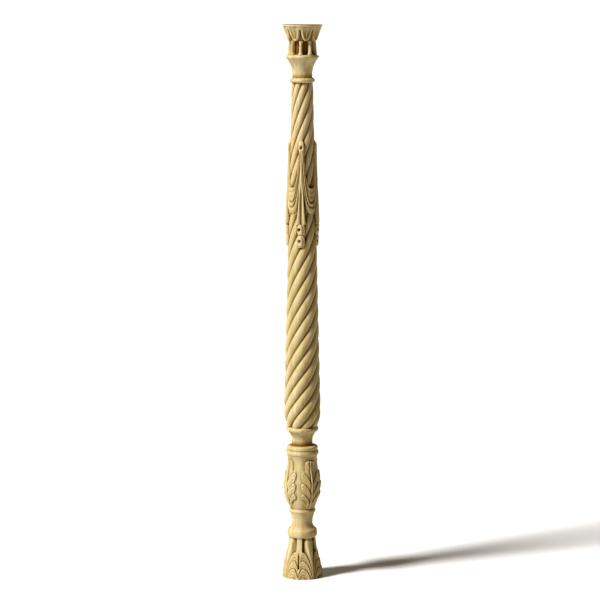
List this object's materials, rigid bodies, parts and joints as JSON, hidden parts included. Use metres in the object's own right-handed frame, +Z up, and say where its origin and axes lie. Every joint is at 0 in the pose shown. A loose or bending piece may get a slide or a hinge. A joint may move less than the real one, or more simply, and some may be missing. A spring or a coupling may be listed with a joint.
{
  "type": "carved wooden baluster",
  "caption": "Tall turned and carved wooden baluster: leafy flared foot, leafy vase, twisted shaft with draped cloth, and a petalled head under a flat top.",
  "frame": {"origin": "centre of the flat underside", "axes": "+Z up along the turning axis, from the foot to the head; -Y is the side that the picture shows"},
  "size_m": [0.0672, 0.0672, 0.9],
  "materials": {
    "pale_hardwood": "bare sanded pale hardwood, matt, with a fine straight grain along the length"
  },
  "bodies": {
    "root": {"carved_baluster": "pale_hardwood"}
  },
  "joints": []
}
